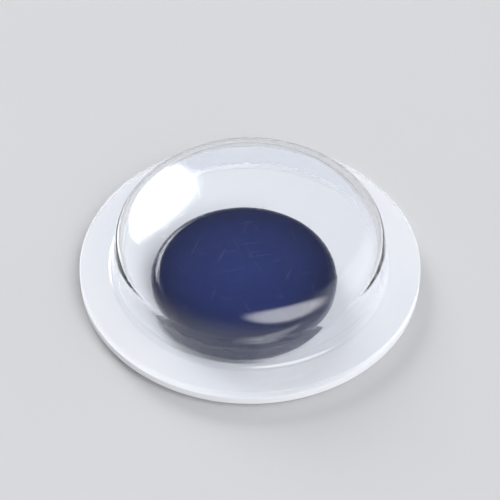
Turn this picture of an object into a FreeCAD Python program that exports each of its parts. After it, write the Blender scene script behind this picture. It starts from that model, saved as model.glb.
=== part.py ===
# Googly eye, the classic round kind with a dark pupil.
#
# A clear cap, formed from thin sheet, is sealed by its flat flange to a white disc of the same
# diameter, and a dark pupil lies loose in the sealed space between them. The white disc carries
# a layer of adhesive on its back, covered by a paper liner that is peeled off before use.
#
# Millimetres, +Z up. The eye lies on its liner, and the origin is the centre of the liner's
# underside, on the eye's axis.

import FreeCAD, Part
import math
import os
import Sketcher
from enum import IntEnum
from FreeCAD import Vector

doc = FreeCAD.newDocument("googly_eye")

# Driving sizes, in millimetres and degrees

SIZES = [
    ("eye_diameter", "12.0", "over the flange"),
    ("dome_height", "2.95", "outer top of the dome above the flange's underside"),
    ("sheet_thickness", "0.30", "clear sheet, the same all over"),
    ("flange_width", "1.00", "flat ring from the rim to the foot of the wall"),
    ("foot_bevel", "0.15", "slope where the wall turns into the flange, both ways"),
    ("wall_draft", "7.0", "lean of the wall, in degrees, that lets the mould go"),
    ("shoulder_radius", "1.20", "outer radius between the wall and the top"),
    ("crown_radius", "14.0", "outer radius of the gently domed top"),
    ("rim_bevel", "0.05", "what the cutting die takes off both rims"),
    ("backing_thickness", "0.30", "white disc under the dome"),
    ("adhesive_margin", "0.35", "bare ring of the white disc round the adhesive"),
    ("adhesive_thickness", "0.15", "double-sided adhesive"),
    ("liner_thickness", "0.10", "paper that covers the adhesive"),
    ("pupil_diameter", "6.40", "loose disc"),
    ("pupil_thickness", "1.10", "loose disc"),
    ("pupil_edge", "0.40", "radius round both edges of the disc"),
    ("pupil_lift", "0.02", "air under the disc"),
    ("pupil_gap", "0.05", "air between the disc and the wall it lies against"),
    ("pupil_bearing", "260.0", "where the disc lies, in degrees from +X about the axis"),
]

sheet = doc.addObject("Spreadsheet::Sheet", "sizes")
for row, (alias, value, note) in enumerate(SIZES, start=1):
    sheet.set(f"A{row}", alias)
    sheet.set(f"B{row}", value)
    sheet.setAlias(f"B{row}", alias)
    sheet.set(f"C{row}", note)
doc.recompute()

# Sizes and places that follow from the driving ones

EYE_RADIUS = "sizes.eye_diameter / 2"
STICKY_DIAMETER = "sizes.eye_diameter - 2 * sizes.adhesive_margin"
ADHESIVE_LEVEL = "sizes.liner_thickness"
BACKING_LEVEL = f"{ADHESIVE_LEVEL} + sizes.adhesive_thickness"
DOME_LEVEL = f"{BACKING_LEVEL} + sizes.backing_thickness"
PUPIL_LEVEL = f"{DOME_LEVEL} + sizes.pupil_lift"

# The outer wall is the line x * cos(draft) + z * sin(draft) = WALL_REACH, through the top of the
# foot's bevel. The pupil lies nearest to the inner wall, one sheet thickness further in, at the
# height where its upper edge starts to round.
WALL_REACH = (
    f"(({EYE_RADIUS} - sizes.flange_width - sizes.foot_bevel) * cos(sizes.wall_draft)"
    " + (sizes.sheet_thickness + sizes.foot_bevel) * sin(sizes.wall_draft))"
)
TOUCH_HEIGHT = "(sizes.pupil_lift + sizes.pupil_thickness - sizes.pupil_edge)"
INNER_RADIUS = (
    f"(({WALL_REACH} - sizes.sheet_thickness - {TOUCH_HEIGHT} * sin(sizes.wall_draft))"
    " / cos(sizes.wall_draft))"
)
PUPIL_OFFSET = f"({INNER_RADIUS} - sizes.pupil_diameter / 2 - sizes.pupil_gap)"


def value_of(expression):
    """The number that an expression on the sheet's cells comes to."""
    return float(sheet.evalExpression(expression))


class At(IntEnum):
    """Points of a sketch element, as the sketcher numbers them."""
    START = 1
    END = 2
    CENTRE = 3


class Axis(IntEnum):
    """The sketch's own axes, as the sketcher numbers them. They start at its origin."""
    HORIZONTAL = -1
    VERTICAL = -2


ORIGIN = (Axis.HORIZONTAL, At.START)


def new_body(label):
    body = doc.addObject("PartDesign::Body", label)
    body.Label = label
    return body


def new_sketch(body, name, plane_role):
    """An empty sketch on one of the body's own origin planes."""
    sketch = body.newObject("Sketcher::SketchObject", name)
    plane = next(p for p in body.Origin.OriginFeatures if p.Role == plane_role)
    sketch.AttachmentSupport = [(plane, "")]
    sketch.MapMode = "FlatFace"
    return sketch


def tie(sketch, kind, *points):
    """Add a constraint without a size, such as Coincident or Parallel."""
    sketch.addConstraint(Sketcher.Constraint(kind, *points))


def dimension(sketch, name, kind, points, expression):
    """Add a dimension, and bind it to the sizes."""
    value = value_of(expression)
    if kind == "Angle":
        value = math.radians(value)
    index = sketch.addConstraint(Sketcher.Constraint(kind, *points, value))
    sketch.renameConstraint(index, name)
    sketch.setExpression(f"Constraints.{name}", expression)


def round_disc(label, diameter, thickness):
    """A body with one round disc of sheet, centred on the axis."""
    body = new_body(label)
    outline = new_sketch(body, f"{label}_outline", "XY_Plane")
    radius = value_of(diameter) / 2
    circle = outline.addGeometry(Part.Circle(Vector(0, 0, 0), Vector(0, 0, 1), radius), False)
    tie(outline, "Coincident", circle, At.CENTRE, *ORIGIN)
    dimension(outline, "diameter", "Diameter", (circle,), diameter)
    pad = body.newObject("PartDesign::Pad", f"{label}_sheet")
    pad.Profile = outline
    pad.setExpression("Length", thickness)
    return body, pad


def outer_edges(feature, levels):
    """Names of the feature's outermost round edges that lie flat at the given levels."""
    doc.recompute()
    reach = feature.Shape.BoundBox.XMax
    names = []
    for number, edge in enumerate(feature.Shape.Edges, start=1):
        box = edge.BoundBox
        flat = any(math.isclose(z, box.ZMin, abs_tol=1e-6) for z in levels) and box.ZLength < 1e-6
        if flat and math.isclose(box.XMax, reach, abs_tol=1e-6):
            names.append(f"Edge{number}")
    return names


def finish_edges(body, feature, kind, name, levels, size_property, expression):
    """Fillet or chamfer the feature's outermost edges."""
    finish = body.newObject(f"PartDesign::{kind}", name)
    finish.Base = (feature, outer_edges(feature, levels))
    finish.setExpression(size_property, expression)


# Release liner: thin paper as large as the adhesive, and the face that the eye lies on

release_liner, _ = round_disc("release_liner", STICKY_DIAMETER, "sizes.liner_thickness")

# Adhesive: a little smaller than the white disc, so that none of it shows past the rim

adhesive_disc, _ = round_disc("adhesive_disc", STICKY_DIAMETER, "sizes.adhesive_thickness")
adhesive_disc.setExpression("Placement.Base.z", ADHESIVE_LEVEL)

# Backing disc: white sheet, cut flush with the flange in one stroke of the die

backing_disc, backing_sheet = round_disc(
    "backing_disc", "sizes.eye_diameter", "sizes.backing_thickness"
)
finish_edges(backing_disc, backing_sheet, "Chamfer", "backing_rim", [0.0], "Size",
             "sizes.rim_bevel")
backing_disc.setExpression("Placement.Base.z", BACKING_LEVEL)

# Pupil: a thick moulded disc, rounded at both edges. It lies against the wall on one side, as it
# does when the eye has been tipped that way.

pupil, pupil_disc = round_disc("pupil", "sizes.pupil_diameter", "sizes.pupil_thickness")
finish_edges(pupil, pupil_disc, "Fillet", "pupil_edges", [0.0, value_of("sizes.pupil_thickness")],
             "Radius", "sizes.pupil_edge")
pupil.setExpression("Placement.Base.x", f"{PUPIL_OFFSET} * cos(sizes.pupil_bearing)")
pupil.setExpression("Placement.Base.y", f"{PUPIL_OFFSET} * sin(sizes.pupil_bearing)")
pupil.setExpression("Placement.Base.z", PUPIL_LEVEL)

# Clear dome: one profile of even thickness, turned about the axis. Its outer line runs from the
# top over the shoulder, down the drafted wall and the foot's bevel to the flange, and the inner
# line follows it one sheet thickness away. The sketch is drawn in place and then constrained.

clear_dome = new_body("clear_dome")
profile = new_sketch(clear_dome, "dome_profile", "XZ_Plane")

sheet_wall = value_of("sizes.sheet_thickness")
foot_bevel = value_of("sizes.foot_bevel")
shoulder_radius = value_of("sizes.shoulder_radius")
crown_radius = value_of("sizes.crown_radius")
dome_height = value_of("sizes.dome_height")
rim_x = value_of(EYE_RADIUS)
foot_x = rim_x - value_of("sizes.flange_width")
draft = math.radians(value_of("sizes.wall_draft"))
wall_normal = Vector(math.cos(draft), math.sin(draft), 0)

# The shoulder's centre lies one shoulder radius inside both the wall and the crown's circle,
# which fixes the angle from the axis at which shoulder and crown meet.
crown_centre = Vector(0, dome_height - crown_radius, 0)
centre_distance = crown_radius - shoulder_radius
shoulder_reach = value_of(WALL_REACH) - shoulder_radius - crown_centre.dot(wall_normal)
meet_angle = math.asin(shoulder_reach / centre_distance) - draft
meet_normal = Vector(math.sin(meet_angle), math.cos(meet_angle), 0)
shoulder_centre = crown_centre + meet_normal * centre_distance

# The foot's bevel slopes at 45 degrees, so its inner line meets the flange's underside nearer to
# the axis, and the inner wall lower down, than the outer line meets their upper sides.
bevel_sum = foot_x + sheet_wall
inner_sum = bevel_sum - sheet_wall * math.sqrt(2)
inner_reach = value_of(WALL_REACH) - sheet_wall
inner_foot_top = (inner_reach - inner_sum * math.cos(draft)) / (math.sin(draft) - math.cos(draft))


def draw_line(start, end):
    return profile.addGeometry(Part.LineSegment(Vector(*start, 0), Vector(*end, 0)), False)


def draw_arc(centre, radius, start_angle, end_angle):
    circle = Part.Circle(centre, Vector(0, 0, 1), radius)
    return profile.addGeometry(Part.ArcOfCircle(circle, start_angle, end_angle), False)


def draw_side(depth, foot_start, wall_start):
    """Crown, shoulder, wall and foot of the profile, at a depth below the outer surface."""
    across = math.pi / 2
    crown = draw_arc(crown_centre, crown_radius - depth, across - meet_angle, across)
    shoulder = draw_arc(shoulder_centre, shoulder_radius - depth, draft, across - meet_angle)
    wall_top = shoulder_centre + wall_normal * (shoulder_radius - depth)
    wall = draw_line(wall_start, (wall_top.x, wall_top.y))
    foot = draw_line(foot_start, wall_start)
    tie(profile, "Tangent", crown, At.START, shoulder, At.END)
    tie(profile, "Tangent", shoulder, At.START, wall, At.END)
    tie(profile, "Coincident", wall, At.START, foot, At.END)
    return crown, shoulder, wall, foot


crown_out, shoulder_out, wall_out, foot_out = draw_side(
    0.0, (foot_x, sheet_wall), (foot_x - foot_bevel, sheet_wall + foot_bevel)
)
crown_in, shoulder_in, wall_in, foot_in = draw_side(
    sheet_wall, (inner_sum, 0), (inner_sum - inner_foot_top, inner_foot_top)
)
flange_top = draw_line((foot_x, sheet_wall), (rim_x, sheet_wall))
flange_rim = draw_line((rim_x, sheet_wall), (rim_x, 0))
flange_under = draw_line((rim_x, 0), (inner_sum, 0))
top_section = draw_line((0, dome_height - sheet_wall), (0, dome_height))

tie(profile, "Coincident", foot_out, At.START, flange_top, At.START)
tie(profile, "Coincident", flange_top, At.END, flange_rim, At.START)
tie(profile, "Coincident", flange_rim, At.END, flange_under, At.START)
tie(profile, "Coincident", flange_under, At.END, foot_in, At.START)
tie(profile, "Coincident", crown_in, At.END, top_section, At.START)
tie(profile, "Coincident", top_section, At.END, crown_out, At.END)
tie(profile, "Coincident", crown_in, At.CENTRE, crown_out, At.CENTRE)
tie(profile, "Coincident", shoulder_in, At.CENTRE, shoulder_out, At.CENTRE)
tie(profile, "Parallel", wall_in, wall_out)
tie(profile, "Parallel", foot_in, foot_out)
tie(profile, "Horizontal", flange_top)
tie(profile, "Horizontal", flange_under)
tie(profile, "Vertical", flange_rim)
tie(profile, "PointOnObject", flange_rim, At.END, Axis.HORIZONTAL)
tie(profile, "PointOnObject", crown_out, At.CENTRE, Axis.VERTICAL)
tie(profile, "PointOnObject", top_section, At.START, Axis.VERTICAL)
tie(profile, "PointOnObject", top_section, At.END, Axis.VERTICAL)

dimension(profile, "rim_radius", "DistanceX", (*ORIGIN, flange_rim, At.END), EYE_RADIUS)
dimension(profile, "height", "DistanceY", (*ORIGIN, top_section, At.END), "sizes.dome_height")
dimension(profile, "flange_thickness", "DistanceY", (flange_rim, At.END, flange_rim, At.START),
          "sizes.sheet_thickness")
dimension(profile, "top_thickness", "DistanceY", (top_section, At.START, top_section, At.END),
          "sizes.sheet_thickness")
dimension(profile, "foot_thickness", "Distance", (foot_out, At.START, foot_in),
          "sizes.sheet_thickness")
dimension(profile, "flange_width", "DistanceX", (flange_top, At.START, flange_top, At.END),
          "sizes.flange_width")
dimension(profile, "bevel_width", "DistanceX", (foot_out, At.END, foot_out, At.START),
          "sizes.foot_bevel")
dimension(profile, "bevel_height", "DistanceY", (foot_out, At.START, foot_out, At.END),
          "sizes.foot_bevel")
dimension(profile, "shoulder_radius", "Radius", (shoulder_out,), "sizes.shoulder_radius")
dimension(profile, "crown_radius", "Radius", (crown_out,), "sizes.crown_radius")
dimension(profile, "wall_draft", "Angle", (Axis.VERTICAL, At.START, wall_out, At.START),
          "sizes.wall_draft")

dome_shell = clear_dome.newObject("PartDesign::Revolution", "dome_shell")
dome_shell.Profile = profile
dome_shell.ReferenceAxis = (profile, ["V_Axis"])
dome_shell.Angle = 360
finish_edges(clear_dome, dome_shell, "Chamfer", "flange_rim_bevel", [sheet_wall], "Size",
             "sizes.rim_bevel")
clear_dome.setExpression("Placement.Base.z", DOME_LEVEL)

doc.recompute()

# Check the document, then write each piece to its own file

failed = [o.Name for o in doc.Objects if {"Invalid", "Error"} & set(o.State)]
if failed:
    raise RuntimeError(f"these objects failed: {failed}")
if not profile.FullyConstrained:
    raise RuntimeError("the dome's profile is not fully constrained")

os.makedirs("parts", exist_ok=True)
for piece in (clear_dome, pupil, backing_disc, adhesive_disc, release_liner):
    shape = piece.Shape
    if shape.isNull() or not shape.isValid():
        raise RuntimeError(f"{piece.Label} has no valid solid")
    shape.exportStep(f"parts/{piece.Label}.step")
    box = shape.BoundBox
    print(f"{piece.Label}: {len(shape.Solids)} solid, {shape.Volume:.3f} mm3, "
          f"z {box.ZMin:.3f} to {box.ZMax:.3f}")

print(f"pupil lies {pupil.Placement.Base.x:.3f}, {pupil.Placement.Base.y:.3f} from the axis")
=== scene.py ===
# %% [markdown]
# A googly eye, turned on Geometry Nodes lathes
#
# The real eye has five pieces: a clear cap formed from thin sheet, a dark pupil that lies loose
# under it, a white disc that the cap is sealed to, a layer of adhesive on the disc's back, and a
# paper liner over the adhesive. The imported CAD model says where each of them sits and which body
# it belongs to. Blender's work is the look: true curves, clear plastic that bends light, and
# surfaces that are worn and uneven in the way that cheap moulded and die-cut things are.
#
# Everything is in metres, with +Z out through the dome. The eye lies on its liner at height zero.

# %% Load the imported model
import math

import bpy
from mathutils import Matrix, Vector


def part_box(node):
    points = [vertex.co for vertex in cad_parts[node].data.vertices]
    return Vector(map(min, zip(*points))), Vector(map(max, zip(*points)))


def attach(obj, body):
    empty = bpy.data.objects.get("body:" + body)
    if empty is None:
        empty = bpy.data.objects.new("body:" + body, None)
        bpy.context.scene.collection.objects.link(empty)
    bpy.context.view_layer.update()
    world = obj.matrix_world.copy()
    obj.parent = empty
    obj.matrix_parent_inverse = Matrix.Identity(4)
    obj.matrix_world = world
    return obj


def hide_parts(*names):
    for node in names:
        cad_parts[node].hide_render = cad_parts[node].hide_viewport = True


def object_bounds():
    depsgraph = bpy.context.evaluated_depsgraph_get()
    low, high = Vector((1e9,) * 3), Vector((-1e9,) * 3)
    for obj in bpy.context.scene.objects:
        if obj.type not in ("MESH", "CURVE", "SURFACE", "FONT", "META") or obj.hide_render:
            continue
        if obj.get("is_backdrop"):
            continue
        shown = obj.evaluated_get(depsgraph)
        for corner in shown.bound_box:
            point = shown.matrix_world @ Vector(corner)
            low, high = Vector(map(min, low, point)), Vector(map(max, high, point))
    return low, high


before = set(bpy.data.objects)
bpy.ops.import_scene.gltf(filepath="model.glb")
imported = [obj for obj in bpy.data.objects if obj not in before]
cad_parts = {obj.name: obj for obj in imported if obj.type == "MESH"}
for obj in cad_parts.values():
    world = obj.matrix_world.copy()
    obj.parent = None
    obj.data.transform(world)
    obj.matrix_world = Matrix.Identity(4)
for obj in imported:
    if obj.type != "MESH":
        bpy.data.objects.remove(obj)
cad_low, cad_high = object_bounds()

MM = 0.001
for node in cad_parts:
    low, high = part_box(node)
    size = (high - low) / MM
    print(f"{node}: {size.x:.2f} x {size.y:.2f} x {size.z:.2f} mm, from z {low.z / MM:.2f} mm")

# %% [markdown]
# Numbers on their way through a node tree
#
# Both the lathes and the materials need sums, such as where the wall meets the shoulder, or how
# dark a scratch is. A Math node for each step, placed by hand, hides the sum. This class holds one
# socket and lets Python's own signs add the Math nodes, so that a sum reads as a sum. The
# reflected forms are there so that a plain number may come first, as in 1 - mask. What has no sign
# of its own, such as a cosine, is applied by its name.

# %% A socket that can be used in a sum
class Number:
    def __init__(self, tree, socket):
        self.tree = tree
        self.socket = socket

    def math(self, operation, *values):
        inputs = dict(enumerate(values))
        return self.tree.add("ShaderNodeMath", {"operation": operation}, inputs)

    def apply(self, operation):
        return self.math(operation, self)

    def __add__(self, other):
        return self.math("ADD", self, other)

    def __sub__(self, other):
        return self.math("SUBTRACT", self, other)

    def __rsub__(self, other):
        return self.math("SUBTRACT", other, self)

    def __mul__(self, other):
        return self.math("MULTIPLY", self, other)

    def __truediv__(self, other):
        return self.math("DIVIDE", self, other)

    def __neg__(self):
        return self.math("MULTIPLY", self, -1.0)

    __radd__ = __add__
    __rmul__ = __mul__


# %% [markdown]
# One way to add every other node
#
# A node has settings, which decide what sockets it shows, and sockets, which take either a value
# or a link. The settings go first. A ramp's stops and a switch's number of items are settings
# too, although Blender keeps them in lists, so the method knows those two by name.

# %% A tree that adds nodes
class Tree:
    def __init__(self, node_tree):
        self.node_tree = node_tree
        self.node_tree.nodes.clear()

    def add(self, kind, settings=None, inputs=None, output=0):
        node = self.node_tree.nodes.new(kind)
        for name, value in (settings or {}).items():
            if name == "stops":
                self.set_stops(node.color_ramp, value)
            elif name == "items":
                while len(node.index_switch_items) < value:
                    node.index_switch_items.new()
            else:
                setattr(node, name, value)
        for key, value in (inputs or {}).items():
            socket = self.find(node.inputs, key)
            if isinstance(value, Number):
                self.node_tree.links.new(value.socket, socket)
            else:
                socket.default_value = value
        if not node.outputs:
            return None
        return Number(self, self.find(node.outputs, output))

    @staticmethod
    def find(sockets, key):
        """A socket by its number, its identifier or its name, in that order."""
        if isinstance(key, int):
            return sockets[key]
        by_identifier = [s for s in sockets if s.identifier == key]
        by_name = [s for s in sockets if s.name == key and s.enabled]
        return (by_identifier or by_name)[0]

    @staticmethod
    def set_stops(ramp, stops):
        while len(ramp.elements) < len(stops):
            ramp.elements.new(1.0)
        for element, (position, colour) in zip(ramp.elements, stops):
            element.position = position
            element.color = colour


# %% [markdown]
# The lathe
#
# Every piece of the eye is round about its own axis, so a drawing of half its cross section says
# everything. A Screw modifier could turn such a line, but it leaves the drawing as a list of
# points. Here the cross section stays a rule: a chain of bends, each with a centre, a radius and
# the two directions between which the surface's normal turns. The straight stretches are simply
# what lies between one bend and the next. A hollow bend has a negative radius, which keeps the
# normal pointing out of the material.
#
# The lathe starts from a flat grid. Its rows become the points of the cross section and its
# columns the steps of the turn. A vertex finds its row and column from its index, takes its bend's
# values from the switches, and moves to its place. The same sum gives the exact normal, which is
# stored before the seam and the two poles are merged, and then set on the mesh. The light then
# sees the true curve between the vertices, and no shading smears from a bend onto the flat beside
# it.

# %% Find a vertex's place in the grid and on the cross section
POINTS_PER_BEND = 16
STEPS_AROUND = 192
MERGE_DISTANCE = 0.001 * MM


def place_in_grid(tree, rows):
    """The column and the row of each vertex of a grid with so many rows."""
    index = tree.add("GeometryNodeInputIndex")
    column = (index / rows).apply("FLOOR")
    return column, index - column * rows


def place_on_section(tree, bends, row):
    """A point's distance from the axis, its height, and how far its normal points out and up."""
    bend = (row / POINTS_PER_BEND).apply("FLOOR")
    along = (row - bend * POINTS_PER_BEND) / (POINTS_PER_BEND - 1)
    centre_r, centre_z, radius, start, end = (
        tree.add(
            "GeometryNodeIndexSwitch",
            {"data_type": "FLOAT", "items": len(bends)},
            {"Index": bend, **{f"Item_{n}": value for n, value in enumerate(values)}},
        )
        for values in zip(*bends)
    )
    direction = start + (end - start) * along
    out, up = direction.apply("COSINE"), direction.apply("SINE")
    return centre_r + radius * out, centre_z + radius * up, out, up


# %% Turn a chain of bends about an axis
def close_and_shade(tree, turned, normal, material):
    """Merge the seam and the poles, and finish the mesh with the exact normals."""
    vector = {"data_type": "FLOAT_VECTOR"}
    stored = tree.add(
        "GeometryNodeStoreNamedAttribute",
        vector,
        {"Geometry": turned, "Name": "turned_normal", "Value": normal},
    )
    closed = tree.add(
        "GeometryNodeMergeByDistance", None, {"Geometry": stored, "Distance": MERGE_DISTANCE}
    )
    flipped = tree.add("GeometryNodeFlipFaces", None, {"Mesh": closed})
    kept = tree.add("GeometryNodeInputNamedAttribute", vector, {"Name": "turned_normal"})
    smooth = tree.add("GeometryNodeSetShadeSmooth", None, {"Geometry": flipped})
    shaded = tree.add(
        "GeometryNodeSetMeshNormal", {"mode": "FREE"}, {"Mesh": smooth, "Custom Normal": kept}
    )
    realized = tree.add("GeometryNodeRealizeInstances", None, {"Geometry": shaded})
    finished = tree.add(
        "GeometryNodeSetMaterial", None, {"Geometry": realized, "Material": material}
    )
    tree.add("NodeGroupOutput", None, {0: finished})


def turn_bends(tree, bends, centre, material):
    """Nodes that turn bends, each (centre_r, centre_z, radius, start, end), about an axis."""
    rows = POINTS_PER_BEND * len(bends)
    column, row = place_in_grid(tree, rows)
    distance, height, out, up = place_on_section(tree, bends, row)
    turn = column * (2 * math.pi / STEPS_AROUND)
    to_x, to_y = turn.apply("COSINE"), turn.apply("SINE")
    place = tree.add(
        "ShaderNodeCombineXYZ", None, {0: distance * to_x, 1: distance * to_y, 2: height}
    )
    normal = tree.add("ShaderNodeCombineXYZ", None, {0: out * to_x, 1: out * to_y, 2: up})
    placed = tree.add("ShaderNodeVectorMath", {"operation": "ADD"}, {0: place, 1: centre})
    grid = tree.add("GeometryNodeMeshGrid", None, {2: STEPS_AROUND + 1, 3: rows})
    turned = tree.add("GeometryNodeSetPosition", None, {"Geometry": grid, "Position": placed})
    close_and_shade(tree, turned, normal, material)
    print(f"{tree.node_tree.name}: {len(bends)} bends, {len(tree.node_tree.nodes)} nodes")


# %% [markdown]
# A tree with named sizes
#
# A lathe for one piece is a node group whose inputs are that piece's sizes, under the names that a
# maker would use. The group is hung on an empty object as a modifier, its inputs are set by their
# identifiers, and the result is copied into a plain mesh.

# %% Make a lathe, and make a piece on it
def new_lathe(name, size_names):
    """A node group with the named sizes, a centre and a material, and its inputs by name."""
    group = bpy.data.node_groups.new(name, "GeometryNodeTree")
    group.interface.new_socket("Geometry", in_out="OUTPUT", socket_type="NodeSocketGeometry")
    for size_name in size_names:
        group.interface.new_socket(size_name, in_out="INPUT", socket_type="NodeSocketFloat")
    group.interface.new_socket("Centre", in_out="INPUT", socket_type="NodeSocketVector")
    group.interface.new_socket("Material", in_out="INPUT", socket_type="NodeSocketMaterial")
    tree = Tree(group)
    given = tree.add("NodeGroupInput").socket.node
    sizes = {s.name: Number(tree, s) for s in given.outputs if s.name}
    return tree, sizes


def make_piece(name, body, node, slot, tree, **sizes):
    """Turn one piece, and let it stand for its CAD node."""
    piece = bpy.data.objects.new(name, bpy.data.meshes.new(f"{name}_blank"))
    bpy.context.scene.collection.objects.link(piece)
    lathe = piece.modifiers.new("lathe", "NODES")
    lathe.node_group = tree.node_tree
    for item in tree.node_tree.interface.items_tree:
        if item.in_out == "INPUT":
            lathe[item.identifier] = sizes[item.name.lower().replace(" ", "_")]
    evaluated = piece.evaluated_get(bpy.context.evaluated_depsgraph_get())
    mesh = bpy.data.meshes.new_from_object(evaluated)
    piece.modifiers.clear()
    piece.data = mesh
    mesh.name = name
    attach(piece, body)
    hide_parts(node)
    heights = [vertex.co.z / MM for vertex in mesh.vertices]
    print(f"{name}: {len(mesh.polygons)} faces, z {min(heights):.3f} to {max(heights):.3f} mm")


# %% [markdown]
# Patterns for surfaces
#
# No surface is the same all over, and noise is the cheapest way to vary one: it needs no image and
# has no seam. Object coordinates give the place in metres, so noise with a scale of 1000 has grains
# about a millimetre across. Stretched along a bearing, the grains become streaks, and a mask that
# lets only the highest ones through leaves separate scratches. The bearing also moves the noise
# aside, because otherwise each bearing would show the same grains, only turned.

# %% Make noise, masks, scratches and blends
def noise(tree, scale, length=1.0, bearing=0.0, detail=2.0, rough=0.5):
    """Noise with so many grains to the metre, each so many times longer along a bearing."""
    place = tree.add("ShaderNodeTexCoord", None, None, "Object")
    mapped = tree.add(
        "ShaderNodeMapping",
        {"vector_type": "TEXTURE"},
        {
            "Vector": place,
            "Location": (bearing * MM, 0.0, 0.0),
            "Rotation": (0.0, 0.0, math.radians(bearing)),
            "Scale": (length, 1.0, 1.0),
        },
    )
    return tree.add(
        "ShaderNodeTexNoise",
        None,
        {"Vector": mapped, "Scale": scale, "Detail": detail, "Roughness": rough},
    )


def mask(tree, value, low, high):
    """0 where the value is under low, 1 where it is over high, and smooth between."""
    return tree.add(
        "ShaderNodeMapRange",
        {"interpolation_type": "SMOOTHSTEP"},
        {"Value": value, "From Min": low, "From Max": high},
    )


FAINTEST_SCRATCH, FULL_SCRATCH = 0.66, 0.72


def scratches(tree, scale, length, bearings):
    """1 on fine lines that run along the bearings, and 0 between them."""
    return sum(
        mask(
            tree, noise(tree, scale, length, bearing, detail=3), FAINTEST_SCRATCH, FULL_SCRATCH
        )
        for bearing in bearings
    )


def reach_from(tree, x, y):
    """How far a point is from the upright line through x and y."""
    place = tree.add("ShaderNodeTexCoord", None, None, "Object")
    level = tree.add(
        "ShaderNodeMapping",
        None,
        {"Vector": place, "Location": (-x, -y, 0.0), "Scale": (1.0, 1.0, 0.0)},
    )
    return tree.add("ShaderNodeVectorMath", {"operation": "LENGTH"}, {0: level}, "Value")


def blend(tree, factor, first, second):
    """The first colour where the factor is 0, the second where it is 1, and between."""
    return tree.add(
        "ShaderNodeMix",
        {"data_type": "RGBA"},
        {"Factor_Float": factor, "A_Color": first, "B_Color": second},
        "Result_Color",
    )


# %% Start and finish a material
def new_material(name):
    material = bpy.data.materials.new(name)
    material.use_nodes = True
    return material, Tree(material.node_tree)


def finish_material(material, tree, surface):
    tree.add("ShaderNodeOutputMaterial", None, {"Surface": surface})
    print(f"{material.name}: {len(tree.node_tree.nodes)} nodes")


# %% [markdown]
# Clear sheet
#
# The cap is thin clear plastic that was softened and drawn over a mould. It bends light as any
# clear plastic does, so the surface is a plain refractive one. Three things make it look like
# sheet and not like optical glass: the surface ripples a little where the sheet was stretched, it
# carries fine scuffs from lying in a box with others, and the punch leaves the cut rim frosted, so
# that it shows as a thin pale line. Ripples and scuffs go into Bump nodes, scuffs and frost into
# the roughness. The frost is wherever the surface is nearly as far from the axis as the rim.
#
# A refractive surface lets no lamp through in a path tracer, which would leave the white disc in
# the dark. The usual cure is to treat rays that look for lamps, and light that a matt surface has
# scattered, as if the sheet were a plain transparent film. Each of the sheet's two faces would turn
# a little of that light back, so the film takes that share away.

# %% The clear plastic
RIM_BAND = 0.06 * MM
RIPPLE_DEPTH, SCUFF_DEPTH = 0.03 * MM, 0.002 * MM
low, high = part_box("clear_dome")
eye_radius = high.x

clear_plastic, tree = new_material("clear_plastic")
scuffs = scratches(tree, scale=6500, length=26, bearings=(28, 101, 152))
frost = mask(tree, reach_from(tree, 0, 0), eye_radius - RIM_BAND, eye_radius - RIM_BAND / 3)
ripple = tree.add(
    "ShaderNodeBump",
    None,
    {"Strength": 0.5, "Distance": RIPPLE_DEPTH, "Height": noise(tree, 330)},
)
surface = tree.add(
    "ShaderNodeBump",
    None,
    {"Strength": 0.3, "Distance": SCUFF_DEPTH, "Height": 1 - scuffs, "Normal": ripple},
)
glassy = tree.add(
    "ShaderNodeBsdfPrincipled",
    None,
    {
        "Base Color": (0.97, 0.98, 1.0, 1.0),
        "Transmission Weight": 1.0,
        "IOR": 1.53,
        "Roughness": 0.025 + scuffs * 0.12 + frost * 0.6,
        "Normal": surface,
    },
)
film = tree.add("ShaderNodeBsdfTransparent", None, {"Color": (0.94, 0.95, 0.965, 1.0)})
shadow_ray = tree.add("ShaderNodeLightPath", None, None, "Is Shadow Ray")
diffuse_ray = tree.add("ShaderNodeLightPath", None, None, "Is Diffuse Ray")
lets_through = shadow_ray.math("MAXIMUM", shadow_ray, diffuse_ray)
sheet_look = tree.add("ShaderNodeMixShader", None, {0: lets_through, 1: glassy, 2: film})
finish_material(clear_plastic, tree, sheet_look)

# %% [markdown]
# Pupil plastic
#
# The pupil is moulded in a very dark blue. It is neither matt nor glossy, so its highlight is soft.
# It slides about under the dome, which leaves a paler bloom of fine scuffs on the flat face. The
# colour follows the distance from the pupil's own middle, over a ramp of three blues. The paler
# middle is partly that bloom and partly a painted sheen, and the darkest blue at the rounded edge
# is painted shade. A little noise on that distance keeps the bloom's edge from being a perfect
# circle.

# %% The dark blue plastic
low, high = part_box("pupil")
pupil_centre = Vector(((low.x + high.x) / 2, (low.y + high.y) / 2, low.z))
pupil_radius = (high.x - low.x) / 2
pupil_thickness = high.z - low.z

# Where the paler middle starts to fade, and where the rounded edge's painted shade is darkest, as
# shares of the pupil's radius.
BLOOM_AND_SHEEN_FADES, BLOOM_ENDS_AND_RIM_SHADE = 0.62, 0.93
pupil_plastic, tree = new_material("pupil_plastic")
wander = (noise(tree, 1500, detail=4, rough=0.6) - 0.5) * 0.2
share = reach_from(tree, pupil_centre.x, pupil_centre.y) / pupil_radius + wander
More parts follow.
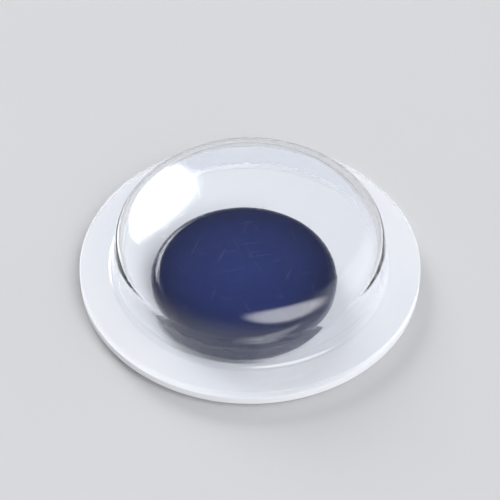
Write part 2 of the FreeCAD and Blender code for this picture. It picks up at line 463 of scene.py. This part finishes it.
# The ramp paints the face paler in the middle, partly scuff bloom and partly painted sheen, and
# darkest at the rounded edge, which is painted shade.
blue_with_painted_sheen = tree.add(
    "ShaderNodeValToRGB",
    {
        "stops": [
            (0.0, (0.017, 0.033, 0.155, 1.0)),
            (BLOOM_AND_SHEEN_FADES, (0.010, 0.021, 0.110, 1.0)),
            (BLOOM_ENDS_AND_RIM_SHADE, (0.003, 0.008, 0.050, 1.0)),
        ]
    },
    {"Fac": share},
)
bloom = 1 - mask(tree, share, BLOOM_AND_SHEEN_FADES, BLOOM_ENDS_AND_RIM_SHADE)
hairlines = scratches(tree, scale=9000, length=16, bearings=(12, 71, 118))
skin = tree.add(
    "ShaderNodeBump",
    None,
    {"Strength": 0.25, "Distance": 0.004 * MM, "Height": noise(tree, 9000) + hairlines},
)
dark = tree.add(
    "ShaderNodeBsdfPrincipled",
    None,
    {
        "Base Color": blue_with_painted_sheen,
        "Roughness": 0.18 + bloom * 0.05 + hairlines * 0.08,
        "IOR": 1.5,
        "Normal": skin,
    },
)
finish_material(pupil_plastic, tree, dark)

# %% [markdown]
# White sheet
#
# The disc behind the pupil is punched from white plastic sheet. It has a satin skin with a very
# fine grain from the rollers that made it, and it isn't evenly white.

# %% The white plastic
white_plastic, tree = new_material("white_plastic")
cloud = noise(tree, 350, detail=4, rough=0.6)
white = blend(tree, cloud, (0.86, 0.87, 0.90, 1.0), (0.92, 0.925, 0.945, 1.0))
grain = noise(tree, 14000, detail=2)
skin = tree.add(
    "ShaderNodeBump", None, {"Strength": 0.25, "Distance": 0.003 * MM, "Height": grain}
)
satin = tree.add(
    "ShaderNodeBsdfPrincipled",
    None,
    {"Base Color": white, "Roughness": 0.34 + cloud * 0.12, "IOR": 1.5, "Normal": skin},
)
finish_material(white_plastic, tree, satin)

# %% [markdown]
# Adhesive and liner
#
# Of the adhesive only the edge shows, a milky line between the white disc and the paper. The
# liner is thin white paper with a slick coating. Its fibres lie at random in the sheet, so three
# stretched noises that cross each other make a felt of short fine streaks.

# %% The adhesive film
adhesive, tree = new_material("adhesive")
clots = noise(tree, 2600, detail=3, rough=0.6)
milky = blend(tree, clots, (0.70, 0.68, 0.61, 1.0), (0.84, 0.82, 0.77, 1.0))
skin = tree.add(
    "ShaderNodeBump", None, {"Strength": 0.4, "Distance": 0.008 * MM, "Height": clots}
)
tacky = tree.add(
    "ShaderNodeBsdfPrincipled",
    None,
    {"Base Color": milky, "Roughness": 0.42 + clots * 0.15, "IOR": 1.47, "Normal": skin},
)
finish_material(adhesive, tree, tacky)

# %% The liner paper
liner_paper, tree = new_material("liner_paper")
bearings = (17, 81, 139)
fibres = sum(
    noise(tree, 7000, length=5, bearing=bearing, detail=4, rough=0.7) for bearing in bearings
) / len(bearings)
cloud = noise(tree, 420, detail=3)
covered = mask(tree, fibres * 0.6 + cloud * 0.4, 0.34, 0.62)
paper = blend(tree, covered, (0.79, 0.79, 0.77, 1.0), (0.92, 0.92, 0.91, 1.0))
felt = tree.add(
    "ShaderNodeBump", None, {"Strength": 0.5, "Distance": 0.01 * MM, "Height": fibres}
)
coated = tree.add(
    "ShaderNodeBsdfPrincipled",
    None,
    {"Base Color": paper, "Roughness": 0.48 + fibres * 0.2, "IOR": 1.45, "Normal": felt},
)
finish_material(liner_paper, tree, coated)

# %% [markdown]
# The clear cap
#
# The cap's cross section is one sheet of even thickness, so its outer and inner lines share the
# centres of their bends. From the top it runs over a gently domed crown and a tight shoulder, down
# a wall that leans in a few degrees, round the foot, and out along the flange to a die-cut rim.
# Where the wall stands and where shoulder and crown meet both follow from the sizes, by the same
# geometry that the drawing of the mould has.

# %% The cap's wall and foot
cap_tree, size = new_lathe(
    "clear_cap",
    ["Rim Radius", "Height", "Sheet Thickness", "Flange Width", "Foot Width", "Foot Radius",
     "Wall Draft", "Shoulder Radius", "Crown Radius", "Upper Rim Edge", "Lower Rim Edge"],
)
lean = size["Wall Draft"]
cos_lean, sin_lean = lean.apply("COSINE"), lean.apply("SINE")
sheet = size["Sheet Thickness"]

# The wall starts a foot's width inside the flange and as far above it. A bend that fills the
# corner there touches both faces, so its centre is one radius away from each.
foot_radius = size["Foot Radius"]
wall_start_r = size["Rim Radius"] - size["Flange Width"] - size["Foot Width"]
wall_start_z = sheet + size["Foot Width"]
wall_reach = wall_start_r * cos_lean + wall_start_z * sin_lean
bend_z = sheet + foot_radius
bend_r = (wall_reach + foot_radius - bend_z * sin_lean) / cos_lean
print(f"wall and foot: {len(cap_tree.node_tree.nodes)} nodes so far")

# %% The cap's shoulder and crown
crown, shoulder = size["Crown Radius"], size["Shoulder Radius"]
crown_z = size["Height"] - crown

# The shoulder touches the wall and the crown from inside.
centre_distance = crown - shoulder
across = (wall_reach - shoulder - crown_z * sin_lean) / centre_distance
meet = across.apply("ARCCOSINE") + lean
shoulder_r = centre_distance * meet.apply("COSINE")
shoulder_z = crown_z + centre_distance * meet.apply("SINE")
print(f"shoulder and crown: {len(cap_tree.node_tree.nodes)} nodes so far")

# %% The cap's whole cross section
UP, OUT, DOWN, HALF_TURN = math.pi / 2, 0.0, -math.pi / 2, math.pi
upper, lower = size["Upper Rim Edge"], size["Lower Rim Edge"]
rim = size["Rim Radius"]
turn_bends(
    cap_tree,
    [
        (0.0, crown_z, crown, UP, meet),
        (shoulder_r, shoulder_z, shoulder, meet, lean),
        (bend_r, bend_z, -foot_radius, lean, UP),
        (rim - upper, sheet - upper, upper, UP, OUT),
        (rim - lower, lower, lower, OUT, DOWN),
        (bend_r, bend_z, foot_radius + sheet, DOWN, lean - HALF_TURN),
        (shoulder_r, shoulder_z, sheet - shoulder, lean - HALF_TURN, meet - HALF_TURN),
        (0.0, crown_z, sheet - crown, meet - HALF_TURN, DOWN),
    ],
    size["Centre"],
    size["Material"],
)

# %% [markdown]
# The cap is bonded to the white disc without any air between them. Two faces in the same place
# would fight over every ray, so the cap's underside is pressed a hundredth of a millimetre into
# the disc, where it can't be seen.

# %% Turn the cap
BOND_DEPTH = 0.01 * MM
low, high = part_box("clear_dome")
make_piece(
    "clear_cap", "case", "clear_dome", "clear_plastic", cap_tree,
    rim_radius=eye_radius,
    height=high.z - low.z + BOND_DEPTH,
    sheet_thickness=0.30 * MM,
    flange_width=1.0 * MM,
    foot_width=0.15 * MM,
    foot_radius=0.16 * MM,
    wall_draft=math.radians(7.0),
    shoulder_radius=1.20 * MM,
    crown_radius=14.0 * MM,
    upper_rim_edge=0.05 * MM,
    lower_rim_edge=0.02 * MM,
    centre=(0.0, 0.0, low.z - BOND_DEPTH),
    material=clear_plastic,
)

# %% [markdown]
# The pupil
#
# The pupil is a moulded disc with well rounded edges. As the plastic cools it shrinks, and the
# middle of the face sinks a few hundredths of a millimetre. That faint dish can't be seen as a
# shape, but it makes the face mirror a spread of the room and not a single direction. A negative
# radius makes the face hollow, and face and edge meet where their normals agree, which is a little
# past upright because the dish rises towards the edge.

# %% Turn the pupil
pupil_tree, size = new_lathe(
    "moulded_pupil", ["Radius", "Thickness", "Edge Radius", "Dish Radius"]
)
edge, dish = size["Edge Radius"], size["Dish Radius"]
edge_r = size["Radius"] - edge
edge_z = size["Thickness"] - edge
meet = UP + (edge_r / (dish + edge)).apply("ARCSINE")
dish_z = edge_z + (dish + edge) * meet.apply("SINE")
turn_bends(
    pupil_tree,
    [
        (0.0, dish_z, -dish, UP, meet),
        (edge_r, edge_z, edge, meet, OUT),
        (edge_r, edge, edge, OUT, DOWN),
        (0.0, 0.0, 0.0, DOWN, DOWN),
    ],
    size["Centre"],
    size["Material"],
)
make_piece(
    "pupil_disc", "pupil", "pupil", "pupil_plastic", pupil_tree,
    radius=pupil_radius,
    thickness=pupil_thickness,
    edge_radius=0.40 * MM,
    dish_radius=150 * MM,
    centre=pupil_centre,
    material=pupil_plastic,
)

# %% [markdown]
# The three sheets
#
# The white disc, the adhesive and the liner are punched from flat sheet, so one lathe makes all
# three: two flat faces, and a small radius where the punch rounded the edges. A bend of no radius
# on the axis stands for the middle of a flat face.

# %% Turn the sheets
sheet_tree, size = new_lathe("punched_sheet", ["Radius", "Thickness", "Upper Edge", "Lower Edge"])
radius, thickness = size["Radius"], size["Thickness"]
upper, lower = size["Upper Edge"], size["Lower Edge"]
turn_bends(
    sheet_tree,
    [
        (0.0, thickness, 0.0, UP, UP),
        (radius - upper, thickness - upper, upper, UP, OUT),
        (radius - lower, lower, lower, OUT, DOWN),
        (0.0, 0.0, 0.0, DOWN, DOWN),
    ],
    size["Centre"],
    size["Material"],
)
for name, node, slot, material, upper_edge, lower_edge in (
    ("white_disc", "backing_disc", "white_plastic", white_plastic, 0.02 * MM, 0.05 * MM),
    ("adhesive_film", "adhesive_disc", "adhesive", adhesive, 0.02 * MM, 0.02 * MM),
    ("paper_liner", "release_liner", "liner_paper", liner_paper, 0.015 * MM, 0.015 * MM),
):
    low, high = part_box(node)
    make_piece(
        name, "case", node, slot, sheet_tree,
        radius=high.x,
        thickness=high.z - low.z,
        upper_edge=upper_edge,
        lower_edge=lower_edge,
        centre=(0.0, 0.0, low.z),
        material=material,
    )

# %% [markdown]
# The floor
#
# The floor is plain and pale. It lies a hundredth of a millimetre under the liner, so that the two
# don't share a plane, and it is open under the middle of the eye, where nothing of it could be
# seen. Seen from below it lets the view through, so that the eye's back shows.

# %% Lay the floor
scene = bpy.context.scene
FLOOR_LEVEL = -0.01 * MM
FLOOR_SIDES = 64
OPENING_RADIUS, FLOOR_RADIUS = 5.63 * MM, 1.5
floor_corners = [
    (reach * math.cos(turn), reach * math.sin(turn), FLOOR_LEVEL)
    for reach in (OPENING_RADIUS, FLOOR_RADIUS)
    for turn in (2 * math.pi * step / FLOOR_SIDES for step in range(FLOOR_SIDES))
]
floor_faces = []
for step in range(FLOOR_SIDES):
    following = (step + 1) % FLOOR_SIDES
    floor_faces.append((step, FLOOR_SIDES + step, FLOOR_SIDES + following, following))
floor_mesh = bpy.data.meshes.new("floor")
floor_mesh.from_pydata(floor_corners, [], floor_faces)
floor = bpy.data.objects.new("floor", floor_mesh)
scene.collection.objects.link(floor)
floor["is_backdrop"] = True

paint, tree = new_material("floor_paint")
speckle = noise(tree, 60, detail=3)
pale = blend(tree, speckle, (0.61, 0.615, 0.63, 1.0), (0.64, 0.645, 0.66, 1.0))
matt = tree.add("ShaderNodeBsdfPrincipled", None, {"Base Color": pale, "Roughness": 0.8})
below = tree.add("ShaderNodeNewGeometry", None, None, "Backfacing")
open_below = tree.add("ShaderNodeBsdfTransparent")
one_sided = tree.add("ShaderNodeMixShader", None, {0: below, 1: matt, 2: open_below})
finish_material(paint, tree, one_sided)
floor_mesh.materials.append(paint)
print(f"floor: {len(floor_mesh.polygons)} faces, normal {tuple(floor_mesh.polygons[0].normal)}")

# %% [markdown]
# The light
#
# Clear plastic shows only what it mirrors and bends, so the lamps are also what gives the dome its
# shape. They are painted into the surroundings as round patches with soft edges, like large
# softboxes far away: an area lamp near the eye would leave the rest of the floor dark, and its
# hard edge would show in the dome. The key stands low behind and to the left, and lays its glare
# on the upper left of the dome. A dimmer patch in front lights the disc's near side, and a faint
# wide one fills the shadows from the right. The part of the room that the crown mirrors into the
# camera is dim, which keeps the pupil deep. Light from below the horizon shows the eye's back.
#
# The camera sees plain pale surroundings, whatever the plastic mirrors.

# %% Paint the room
def direction(azimuth, elevation):
    """The direction in which something stands, by its bearing from +X and its height."""
    around, above = math.radians(azimuth), math.radians(elevation)
    return Vector(
        (math.cos(around) * math.cos(above), math.sin(around) * math.cos(above), math.sin(above))
    )


world = bpy.data.worlds.new("studio")
scene.world = world
world.use_nodes = True
room = Tree(world.node_tree)
way = room.add("ShaderNodeTexCoord", None, None, "Generated")
height = room.add("ShaderNodeSeparateXYZ", None, {0: way}, "Z")
BACKDROP = (0.70, 0.705, 0.72, 1.0)
HORIZON, CEILING = (0.52, 0.53, 0.55, 1.0), (0.11, 0.115, 0.125, 1.0)
FROM_BELOW = (0.95, 0.95, 0.97, 1.0)
above = blend(room, mask(room, height, 0.0, 0.8), HORIZON, CEILING)
light = blend(room, mask(room, height, -0.05, 0.0), FROM_BELOW, above)

# Each patch has a bearing, a height, a width and a soft edge, all in degrees, and a colour.
PATCHES = {
    "key": (122, 26, 30, 8, (9.4, 9.3, 9.1)),
    "front": (-55, 48, 46, 14, (4.1, 4.1, 4.1)),
    "right": (5, 30, 60, 20, (0.65, 0.66, 0.68)),
}
for name, (azimuth, elevation, width, edge_width, colour) in PATCHES.items():
    facing = room.add(
        "ShaderNodeVectorMath",
        {"operation": "DOT_PRODUCT"},
        {0: way, 1: direction(azimuth, elevation)},
        "Value",
    )
    outer = math.cos(math.radians((width + edge_width) / 2))
    inner = math.cos(math.radians((width - edge_width) / 2))
    patch = room.add(
        "ShaderNodeVectorMath",
        {"operation": "SCALE"},
        {0: colour, "Scale": mask(room, facing, outer, inner)},
    )
    light = room.add("ShaderNodeVectorMath", {"operation": "ADD"}, {0: light, 1: patch})
    print(f"{name} patch: {width} degrees wide, {elevation} above the horizon")
seen = room.add("ShaderNodeLightPath", None, None, "Is Camera Ray")
shown = blend(room, seen, light, BACKDROP)
glow = room.add("ShaderNodeBackground", None, {"Color": shown})
room.add("ShaderNodeOutputWorld", None, {"Surface": glow})

# %% [markdown]
# The camera
#
# The photo looks down on the eyes at about 47 degrees. From very near by, the side of the dome that
# is closer to the lens would swell, so a long lens is used, 73 mm away. It aims a little under the
# middle of the eye's height, and the eye then fills about two thirds of the frame's width.

# %% Set the camera
CAMERA_ELEVATION = 47
CAMERA_DISTANCE = 73 * MM
FOCAL_LENGTH = 150
AIM_HEIGHT = 1.4 * MM
camera = bpy.data.objects.new("camera", bpy.data.cameras.new("camera"))
camera.data.lens = FOCAL_LENGTH
camera.data.clip_start = 1 * MM
camera.data.clip_end = 10
view_from = direction(-90, CAMERA_ELEVATION)
look_at = Vector((0.0, 0.0, AIM_HEIGHT))
camera.location = look_at + view_from * CAMERA_DISTANCE
camera.rotation_euler = view_from.to_track_quat("Z", "Y").to_euler()
scene.collection.objects.link(camera)
scene.camera = camera
scene.view_settings.view_transform = "Standard"
print(f"camera at {[round(value / MM, 1) for value in camera.location]} mm")

# %% [markdown]
# The sizes
#
# The dressed eye is meant to be as large as the CAD model. The sizes of both boxes are printed side
# by side, axis by axis.

# %% Print the sizes and finish
dressed_low, dressed_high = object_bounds()
for axis, packed, dressed in zip("xyz", cad_high - cad_low, dressed_high - dressed_low):
    print(f"{axis}: {packed / MM:.3f} mm packed, {dressed / MM:.3f} mm dressed")
